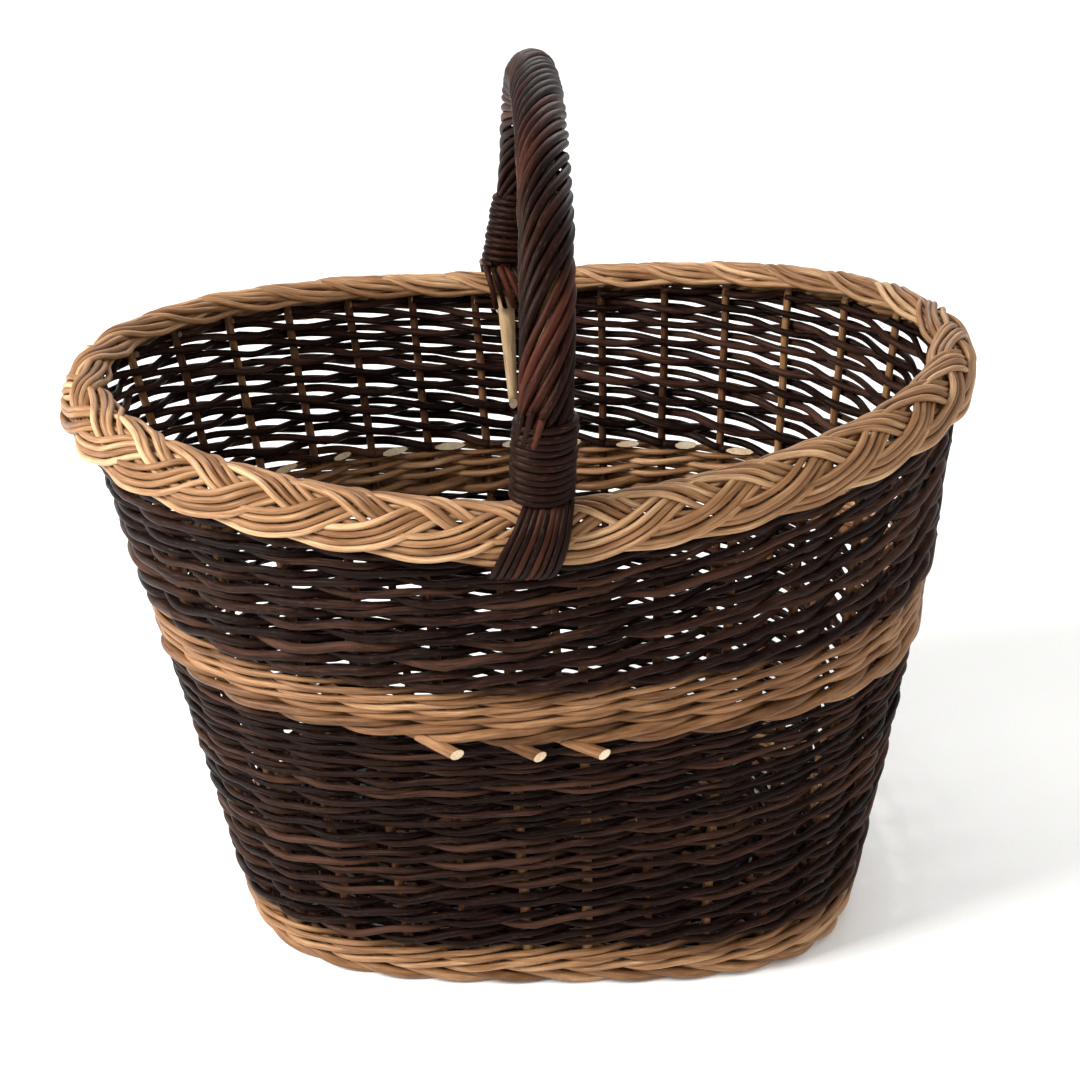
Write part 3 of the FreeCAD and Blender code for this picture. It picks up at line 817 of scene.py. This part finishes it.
def collar_rod(start, direction):
    turns = np.linspace(0.0, COLLAR_TURNS, COLLAR_TURNS * 40)
    share = turns / COLLAR_TURNS
    length = COLLAR_LENGTH - 2 * COLLAR_ROD
    distance = start + direction * (COLLAR_ROD + share * length)
    distance = distance + wander(turns * 0.08, 0.35 * MM, 0.2)
    radius = COLLAR_RADIUS - COLLAR_ROD + wander(turns * 0.08, 0.25 * MM, 0.11)
    path = round_the_bow(distance, 2 * np.pi * turns + 2.2, radius)
    size = COLLAR_ROD * (1 + wander(turns * 0.08, 0.05, 0.17))
    return rod(path, size, cuts=(1.5, 1.5), tone=0.3)


def collar_stub(start, direction, angle, reach):
    """A cut end that sticks up out of the collar's top turns."""
    distance = start + direction * (COLLAR_LENGTH + np.linspace(-12.0, reach, 8) * MM)
    turn = angle + np.linspace(0.0, 0.25, 8)
    return rod(round_the_bow(distance, turn, 13.6 * MM), 1.7 * MM, facing=(1, 0, 0), cuts=(0.0, 0.8))


front_collar = [collar_rod(COLLAR_START, 1.0)]
# Three short ends: the angle round the leg, and the reach past the collar in mm.
COLLAR_STUBS = ((3.6, 3.0), (3.95, 5.0), (4.3, 2.0))
front_collar += [collar_stub(COLLAR_START, 1.0, angle, reach) for angle, reach in COLLAR_STUBS]
back_collar = [collar_rod(bow_length - COLLAR_START, -1.0)]
fit(weave("front_collar_rods", front_collar, (handle_willow, brown_cut)), "handle_willow", "front_collar")
fit(weave("back_collar_rods", back_collar, (handle_willow, brown_cut)), "handle_willow", "back_collar")


# %% Spread the tails
TAILS = 9
TAIL_ROD = 1.75 * MM
# Each corner of a tail: mm out of the wall, mm above the rim, and how far it has fanned out.
OUTER_TAIL = ((3.0, 10.5, 0.0), (10.0, 7.5, 0.12), (15.4, -1.0, 0.38), (16.6, -10.0, 0.66),
              (15.5, -18.5, 0.88), (12.5, -24.0, 1.0), (8.0, -26.5, 1.15))
INNER_TAIL = ((-4.0, 10.0, 0.0), (-10.5, 6.5, 0.2), (-15.0, -1.0, 0.55), (-14.5, -9.0, 0.85),
              (-10.0, -13.0, 1.0))
INNER_TAILS = 5
# Where the fan starts, its width above and below, how far it slants, and how far its end sweeps.
OUTER_FAN = (3 * MM, 18 * MM, 27 * MM, -10 * MM, 2.5 * MM)
INNER_FAN = (3 * MM, 15 * MM, 21 * MM, -9 * MM, 0.0)


def tail_rod(stake, number, count, corners, start, top_width, bottom_width, slant, sweep):
    place = number / (count - 1) - 0.5
    path = []
    for out, lift, fan in corners:
        width = top_width + (bottom_width - top_width) * min(fan, 1.0)
        sideways = start + place * width + slant * fan - sweep * max(0.0, fan - 0.8) * (place + 0.5) * 5
        bulge = 2.2 * MM * (1 - 4 * place ** 2) * max(0.0, 1.0 - 1.6 * fan)
        grow = math.copysign(bulge, out)
        path.append(wall([stake + sideways / STAKE_SPACING], 1.0, out * MM + grow, lift * MM)[0])
    path = smooth_path(path, 46)
    run = np.linspace(0.0, 0.05, 46)
    size = TAIL_ROD * rng.uniform(0.9, 1.1) * (1 + wander(run, 0.05, 0.03)) * np.linspace(1.0, 0.8, 46)
    return rod(path, size, facing=(1.0, 0.0, 0.0), cuts=(0.0, 1.0))


for side, stake in (("front", 0.0), ("back", STAKES / 2)):
    tails = [tail_rod(stake, n, TAILS, OUTER_TAIL, *OUTER_FAN) for n in range(TAILS)]
    tails += [tail_rod(stake, n, INNER_TAILS, INNER_TAIL, *INNER_FAN) for n in range(INNER_TAILS)]
    piece = weave(side + "_tail_rods", tails, (handle_willow, brown_cut))
    fit(piece, "handle_willow", side + "_tails")

# %% [markdown]
# ## Cut ends of the wale
# Three thick wale rods begin side by side in three spaces, so three cut butts show outside,
# just below the pale band.

# %% Leave the cut ends
def wale_butt(place):
    turn = np.linspace(-0.32, 0.3, 12)
    share = (turn + 0.32) / 0.62
    path = wall(place + turn, 0.562 - 0.02 * share, (3.0 + 9.0 * share) * MM)
    return rod(path, 3.1 * MM, cuts=(0.0, 0.7))


WALE_BUTT_STAKES = (-1.55, -0.4, 0.5)
wale_butts = [wale_butt(place) for place in WALE_BUTT_STAKES]
fit(weave("wale_butt_rods", wale_butts, (buff_willow, cut_willow)), "buff_willow", "wale_butts")

# %% [markdown]
# ## The base
# An oval base starts from sticks that fan out of a spine. Rods are woven round and round them,
# over one and under one, until the oval is full. It is under the shopping and out of sight, but
# it shows from above and from below, so it is woven too.

# %% Weave the base
BASE_LOW, BASE_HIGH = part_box("base_weave")
BASE_HEIGHT = (BASE_LOW.z + BASE_HIGH.z) / 2
BASE_STICKS = 24
BASE_ROUNDS = 23
BASE_ROD = 2.1 * MM
BASE_WAVE = 2.9 * MM
SPINE_HALF = (62 * MM, 7 * MM)
spine = outline(SPINE_HALF[0], SPINE_HALF[1], 2.0)


def on_base(stake, share, height):
    """A point on the base: share is 0 at the spine and 1 at the foot."""
    foot = wall(stake, 0.0, -9.0 * MM)[:, :2]
    middle = on_ring(spine, stake) + np.array([foot_middle_x, 0.0])
    share = np.broadcast_to(share, (len(foot),))[:, None]
    flat = middle * (1 - share) + foot * share
    return np.concatenate([flat, np.broadcast_to(height, (len(foot),))[:, None]], axis=1)


def base_round(number):
    share = 0.06 + 0.92 * number / (BASE_ROUNDS - 1)
    points = int(90 + 150 * share)
    turn = np.arange(points) * STAKES / points
    over = np.cos(np.pi * turn * BASE_STICKS / STAKES + np.pi * number)
    path = on_base(turn, share, BASE_HEIGHT + BASE_WAVE * over)
    return rod(path, BASE_ROD * rng.uniform(0.9, 1.05), closed=True)


def base_stick(number):
    stake = np.full(14, number * STAKES / BASE_STICKS)
    share = np.linspace(-0.02, 1.02, 14)
    return rod(on_base(stake, share, BASE_HEIGHT), 2.6 * MM)


base_rounds = [base_round(number) for number in range(BASE_ROUNDS)]
fit(weave("base_weave_rods", base_rounds, (brown_willow, brown_cut), sides=8),
    "dark_willow", "base_weave")
base_sticks = [base_stick(number) for number in range(BASE_STICKS)]
for lane in (-1, 0, 1):
    reach = np.linspace(-1.0, 1.0, 30)[:, None] * np.array([[SPINE_HALF[0] + 25 * MM, 0.0, 0.0]])
    base_sticks.append(rod(reach + np.array([foot_middle_x, lane * 5.2 * MM, BASE_HEIGHT]), 2.5 * MM))
fit(weave("base_stick_rods", base_sticks, (stake_willow, cut_willow), sides=8),
    "stake_willow", "base_cross_sticks", "base_long_sticks")

# %% [markdown]
# ## The bow itself
# The bow is a stout peeled rod. Its ends are cut to long tapers and pushed down inside the wall,
# where they show pale between the rods.

# %% Push in the bow
peeled_bow = willow_finish(
    "peeled_willow_bow", ("#6B5138", "#8F7454", "#AB9070", "#C4AB8B"), "#7A5C3E",
    roughness=(0.5, 0.7), bump_mm=0.4, gloss=0.3, tone_share=0.0)
LEG_POINTS = 24
leg_level = np.linspace(BOW_END_LEVEL, 0.99, LEG_POINTS)
leg_out = np.linspace(-6.5, -1.5, LEG_POINTS) * MM
front_leg = wall(np.zeros(LEG_POINTS), leg_level, leg_out)
back_leg = wall(np.full(LEG_POINTS, STAKES / 2), leg_level, leg_out)
bow_path = np.concatenate([front_leg, bow[3:-3], back_leg[::-1]])
for _ in range(6):
    bow_path[1:-1] = (bow_path[:-2] + 2 * bow_path[1:-1] + bow_path[2:]) / 4
bow_size = np.full(len(bow_path), BOW_RADIUS)
taper = np.linspace(0.45, 1.0, LEG_POINTS) * BOW_RADIUS
bow_size[:LEG_POINTS] = taper
bow_size[-LEG_POINTS:] = taper[::-1]
bow_rod = rod(bow_path, bow_size, facing=(1.0, 0.0, 0.0), cuts=(1.5, 1.5))
fit(weave("handle_bow_rod", [bow_rod], (peeled_bow, cut_willow)), "handle_willow", "handle_bow")

# %% [markdown]
# ## Floor, light and camera
# The basket stands on a pale floor that runs into a pale background, in soft light from large
# lamps: the main one is high on the left in front, a weaker one fills the right side, and one
# behind lights the far wall through the gaps.

# %% Floor
floor_mesh = bpy.data.meshes.new("studio_floor")
FLOOR_HALF = 6.0
floor_mesh.from_pydata(
    [(-FLOOR_HALF, -FLOOR_HALF, 0), (FLOOR_HALF, -FLOOR_HALF, 0), (FLOOR_HALF, FLOOR_HALF, 0),
     (-FLOOR_HALF, FLOOR_HALF, 0)], [], [(0, 1, 2, 3)])
floor = bpy.data.objects.new("studio_floor", floor_mesh)
bpy.context.scene.collection.objects.link(floor)
floor_finish, tree, shader = new_finish("pale_studio_paper")
place = add(tree, "ShaderNodeTexCoord")
# Paper tooth of about 2 mm, much coarser than real, so that the floor is not dead flat.
tooth = add(tree, "ShaderNodeTexNoise", {"Vector": place.outputs["Object"], "Scale": 500.0,
                                         "Detail": 2.0})
tint = add(tree, "ShaderNodeMix", {0: tooth.outputs[0], 6: colour("#F2F1EE"), 7: colour("#FAFAF8")},
           data_type="RGBA")
tree.links.new(tint.outputs[2], shader.inputs["Base Color"])
shader.inputs["Roughness"].default_value = 0.9
floor_mesh.materials.append(floor_finish)
print("floor, m across:", 2 * FLOOR_HALF)

# %% Light
world = bpy.data.worlds.new("studio_air")
bpy.context.scene.world = world
world.use_nodes = True
sky = world.node_tree.nodes["Background"]
sky.inputs["Color"].default_value = colour("#FFFFFF")
sky.inputs["Strength"].default_value = 0.8


def softbox(name, place, size, power):
    """A square lamp at a place, aimed at the middle of the basket."""
    lamp = bpy.data.lights.new(name, "AREA")
    lamp.shape = "SQUARE"
    lamp.size = size
    lamp.energy = power
    holder = bpy.data.objects.new(name, lamp)
    holder.location = place
    aim = Vector((0.0, 0.0, 0.2)) - Vector(place)
    holder.rotation_euler = aim.to_track_quat("-Z", "Y").to_euler()
    bpy.context.scene.collection.objects.link(holder)
    return holder


softbox("key_light", (-1.7, -0.6, 1.35), 0.9, 88.0)
softbox("fill_light", (1.6, -0.9, 0.9), 1.0, 7.0)
softbox("back_light", (0.4, 1.8, 1.4), 1.2, 14.0)
print("lamps:", len(bpy.data.lights))

# %% Camera
CAMERA_AZIMUTH = math.radians(4.87)
CAMERA_HEIGHT = math.radians(27.0)
CAMERA_ROLL = math.radians(1.9)
CAMERA_DISTANCE = 1.1437
CAMERA_AIM = Vector((0.0127, 0.0, 0.1949))
FOCAL_SHARE = 2164.35 / 1080
ahead = Vector((math.sin(CAMERA_AZIMUTH) * math.cos(CAMERA_HEIGHT),
                math.cos(CAMERA_AZIMUTH) * math.cos(CAMERA_HEIGHT), -math.sin(CAMERA_HEIGHT)))
right = Vector((math.cos(CAMERA_AZIMUTH), -math.sin(CAMERA_AZIMUTH), 0.0))
up = right.cross(ahead)
level_right = right * math.cos(CAMERA_ROLL) + up * math.sin(CAMERA_ROLL)
level_up = up * math.cos(CAMERA_ROLL) - right * math.sin(CAMERA_ROLL)
lens = bpy.data.cameras.new("studio_camera")
lens.sensor_width = 36.0
lens.lens = FOCAL_SHARE * lens.sensor_width
camera = bpy.data.objects.new("studio_camera", lens)
turn = Matrix((level_right, level_up, -ahead)).transposed()
camera.matrix_world = Matrix.Translation(CAMERA_AIM - ahead * CAMERA_DISTANCE) @ turn.to_4x4()
bpy.context.scene.collection.objects.link(camera)
bpy.context.scene.camera = camera
bpy.context.scene.view_settings.view_transform = "Standard"
print("lens, mm:", round(lens.lens, 1))
